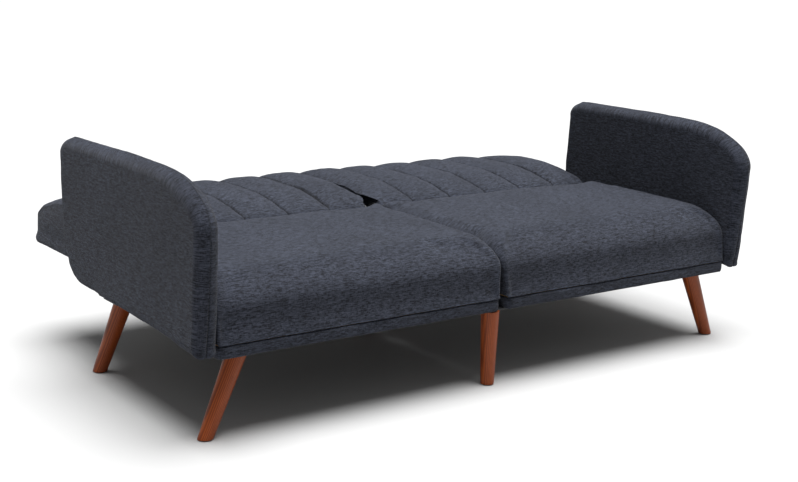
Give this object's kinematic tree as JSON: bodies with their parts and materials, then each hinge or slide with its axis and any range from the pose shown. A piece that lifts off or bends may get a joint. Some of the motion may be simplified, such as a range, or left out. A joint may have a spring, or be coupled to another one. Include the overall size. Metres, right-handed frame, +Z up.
{
  "type": "futon sofa bed",
  "caption": "Upholstered split-back sofa bed laid flat, with fixed padded arms, click-stop reclining backs and tapered wooden legs.",
  "frame": {"origin": "centre of the overall box, on the floor, with both backs laid flat", "axes": "+X to the right along the length seen from the front, +Y from the front to the rear, +Z up"},
  "size_m": [1.914, 1.173, 0.67],
  "materials": {
    "upholstery": "dark slate woven cloth",
    "leg_wood": "reddish brown satin lacquer",
    "frame_timber": "bare planed softwood",
    "dust_cloth": "black non-woven cloth",
    "spring_steel": "oiled spring wire",
    "hinge_steel": "black powder coat",
    "zinc_steel": "bright zinc plate",
    "black_plastic": "black nylon"
  },
  "bodies": {
    "base": {"left_seat_front_rail": "frame_timber", "right_seat_front_rail": "frame_timber", "left_seat_rear_rail": "frame_timber", "right_seat_rear_rail": "frame_timber", "left_seat_end_rails": "frame_timber", "right_seat_end_rails": "frame_timber", "left_seat_tail_rail": "frame_timber", "right_seat_tail_rail": "frame_timber", "leg_blocks": "frame_timber", "left_seat_springs": "spring_steel", "right_seat_springs": "spring_steel", "left_seat_cushion": "upholstery", "right_seat_cushion": "upholstery", "left_seat_band": "upholstery", "right_seat_band": "upholstery", "left_dust_cover": "dust_cloth", "right_dust_cover": "dust_cloth", "left_arm_core": "frame_timber", "right_arm_core": "frame_timber", "left_arm_pad": "upholstery", "right_arm_pad": "upholstery", "arm_bolts": "zinc_steel", "arm_washers": "zinc_steel", "arm_spacers": "black_plastic", "front_left_leg": "leg_wood", "front_right_leg": "leg_wood", "rear_left_leg": "leg_wood", "rear_right_leg": "leg_wood", "centre_front_leg": "leg_wood", "centre_rear_leg": "leg_wood", "leg_glides": "black_plastic", "leg_plates": "zinc_steel", "centre_plates": "zinc_steel", "hanger_bolts": "zinc_steel", "plate_screws": "zinc_steel", "seat_hinge_plates": "hinge_steel", "hinge_pins": "zinc_steel", "pawl_pins": "zinc_steel", "pawl_springs": "spring_steel", "seat_hinge_bolts": "zinc_steel"},
    "left_back": {"left_back_rails": "frame_timber", "left_back_stiles": "frame_timber", "left_back_springs": "spring_steel", "left_back_cushion": "upholstery", "left_back_lining": "dust_cloth", "left_back_hinge_plates": "hinge_steel", "left_back_hinge_bolts": "zinc_steel"},
    "left_outer_pawl": {"left_outer_pawl": "zinc_steel"},
    "left_inner_pawl": {"left_inner_pawl": "zinc_steel"},
    "right_back": {"right_back_rails": "frame_timber", "right_back_stiles": "frame_timber", "right_back_springs": "spring_steel", "right_back_cushion": "upholstery", "right_back_lining": "dust_cloth", "right_back_hinge_plates": "hinge_steel", "right_back_hinge_bolts": "zinc_steel"},
    "right_outer_pawl": {"right_outer_pawl": "zinc_steel"},
    "right_inner_pawl": {"right_inner_pawl": "zinc_steel"}
  },
  "joints": [
    {"name": "left_back_recline", "type": "hinge", "parent": "base", "child": "left_back", "pos_m": [-0.45125, 0.1215, 0.365], "axis": [1, 0, 0], "range_deg": [0, 78]},
    {"name": "right_back_recline", "type": "hinge", "parent": "base", "child": "right_back", "pos_m": [0.45125, 0.1215, 0.365], "axis": [1, 0, 0], "range_deg": [0, 78]},
    {"name": "left_outer_pawl_drop", "type": "hinge", "parent": "base", "child": "left_outer_pawl", "pos_m": [-0.8823, 0.07591, 0.34499], "axis": [1, 0, 0], "range_deg": [0, 8]},
    {"name": "left_inner_pawl_drop", "type": "hinge", "parent": "base", "child": "left_inner_pawl", "pos_m": [-0.0202, 0.07591, 0.34499], "axis": [1, 0, 0], "range_deg": [0, 8]},
    {"name": "right_outer_pawl_drop", "type": "hinge", "parent": "base", "child": "right_outer_pawl", "pos_m": [0.8823, 0.07591, 0.34499], "axis": [1, 0, 0], "range_deg": [0, 8]},
    {"name": "right_inner_pawl_drop", "type": "hinge", "parent": "base", "child": "right_inner_pawl", "pos_m": [0.0202, 0.07591, 0.34499], "axis": [1, 0, 0], "range_deg": [0, 8]}
  ]
}
